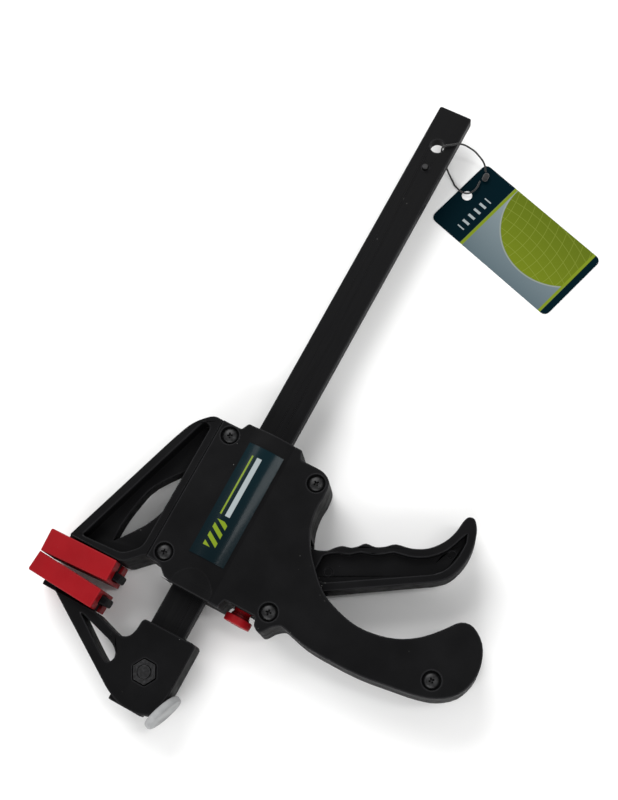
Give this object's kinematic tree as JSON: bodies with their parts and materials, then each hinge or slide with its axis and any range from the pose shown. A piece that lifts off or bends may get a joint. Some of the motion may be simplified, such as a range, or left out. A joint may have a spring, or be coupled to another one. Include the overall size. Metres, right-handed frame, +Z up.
{
  "type": "f clamp",
  "caption": "One-handed ratchet bar clamp: pistol-grip housing with sprung trigger and release button sliding on a flat bar, two toed-in pads, hang tag.",
  "frame": {"origin": "bottom centre of the bounding box of the clamp lying on its side, measured without the hang tag, its string and the string's bead", "axes": "+Y along the bar from the fixed jaw to the hang-hole end, +X from the bar towards the handle and trigger (the pads are on the -X side), +Z up, square to the clamp's flat side"},
  "size_m": [0.1982, 0.328, 0.0303],
  "materials": {
    "black_steel": "black phosphated or painted steel, satin",
    "jaw_nylon": "fine-grained black glass-filled nylon",
    "shell_nylon": "fine-grained black nylon, slightly lighter than the jaws",
    "red_plastic": "soft red plastic, satin",
    "grey_soft": "pale grey soft plastic",
    "screw_black": "black zinc, slightly shiny",
    "sticker": "glossy dark teal film",
    "zinc_steel": "zinc-plated",
    "spring_steel": "oiled spring wire",
    "printed_card": "glossy printed card",
    "string": "black twisted cord",
    "string_lock": "small moulded bead"
  },
  "bodies": {
    "root": {"bar": "black_steel", "bar_stop_pin": "black_steel", "fixed_jaw": "jaw_nylon", "fixed_jaw_bolt": "black_steel", "fixed_jaw_nut": "black_steel", "fixed_jaw_pad": "red_plastic", "end_bumper": "grey_soft", "tag": "printed_card", "tag_string": "string", "string_lock": "string_lock"},
    "carriage": {"sliding_jaw": "jaw_nylon", "sliding_jaw_pad": "red_plastic", "front_shell": "shell_nylon", "rear_shell": "shell_nylon", "shell_screw_1": "screw_black", "shell_screw_2": "screw_black", "shell_screw_3": "screw_black", "shell_screw_4": "screw_black", "shell_screw_5": "screw_black", "shell_label": "sticker", "trigger_pivot_pin": "zinc_steel", "drive_spring": "spring_steel", "brake_spring": "spring_steel"},
    "trigger": {"trigger": "jaw_nylon"},
    "drive_plates": {"drive_plate_1": "zinc_steel", "drive_plate_2": "zinc_steel"},
    "brake_plate": {"brake_plate": "zinc_steel"},
    "release_button": {"release_button": "red_plastic"}
  },
  "joints": [
    {"name": "jaw_slide", "type": "slide", "parent": "root", "child": "carriage", "axis": [0, 1, 0], "range_m": [0, 0.153]},
    {"name": "trigger_squeeze", "type": "hinge", "parent": "carriage", "child": "trigger", "pos_m": [0.00288, -0.069, 0.015], "axis": [0, 0, -1], "range_deg": [0, 20.5], "stiffness_Nm_per_rad": 0.6, "springref_deg": -14.32, "deforming": ["drive_spring"]},
    {"name": "drive_plate_slide", "type": "slide", "parent": "carriage", "child": "drive_plates", "axis": [0, 1, 0], "range_m": [0, 0.0074]},
    {"name": "button_press", "type": "slide", "parent": "carriage", "child": "release_button", "axis": [0, 1, 0], "range_m": [0, 0.003], "stiffness_N_per_m": 500, "springref_m": -0.002, "deforming": ["brake_spring"]},
    {"name": "brake_release", "type": "hinge", "parent": "carriage", "child": "brake_plate", "pos_m": [-0.04412, -0.088, 0.015], "axis": [0, 0, 1], "range_deg": [0, 4.5]}
  ],
  "couplings": [
    {"joint": "drive_plate_slide", "follows": "trigger_squeeze", "m_per_rad": 0.0205},
    {"joint": "brake_release", "follows": "button_press", "rad_per_m": 25.8}
  ]
}
